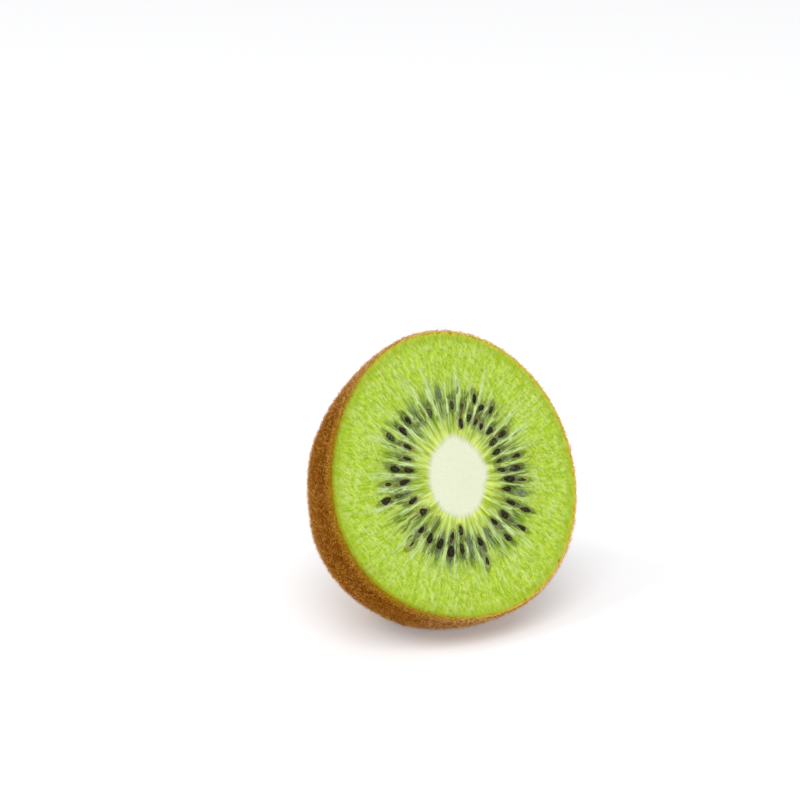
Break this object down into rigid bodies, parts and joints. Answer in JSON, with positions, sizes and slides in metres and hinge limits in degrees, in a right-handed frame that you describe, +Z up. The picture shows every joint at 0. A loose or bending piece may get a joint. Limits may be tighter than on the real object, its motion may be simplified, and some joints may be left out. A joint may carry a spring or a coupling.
{
  "type": "kiwi fruit half",
  "caption": "Half a kiwi fruit cut across the middle, green flesh with dark seeds and a pale core, resting on its rounded furry side with the cut face up and forward.",
  "frame": {"origin": "middle of the bounding box's bottom, on the flat spot that the half rests on", "axes": "+Z up; the cut face looks up and to -Y, and the rounded end points down and to +Y; X runs across the fruit"},
  "size_m": [0.0514, 0.0458, 0.051],
  "materials": {
    "flesh": "wet green fruit flesh with black seeds, inside matt brown skin with short tan hair",
    "core": "moist creamy white core"
  },
  "bodies": {
    "root": {"flesh": "flesh", "core": "core"}
  },
  "joints": []
}
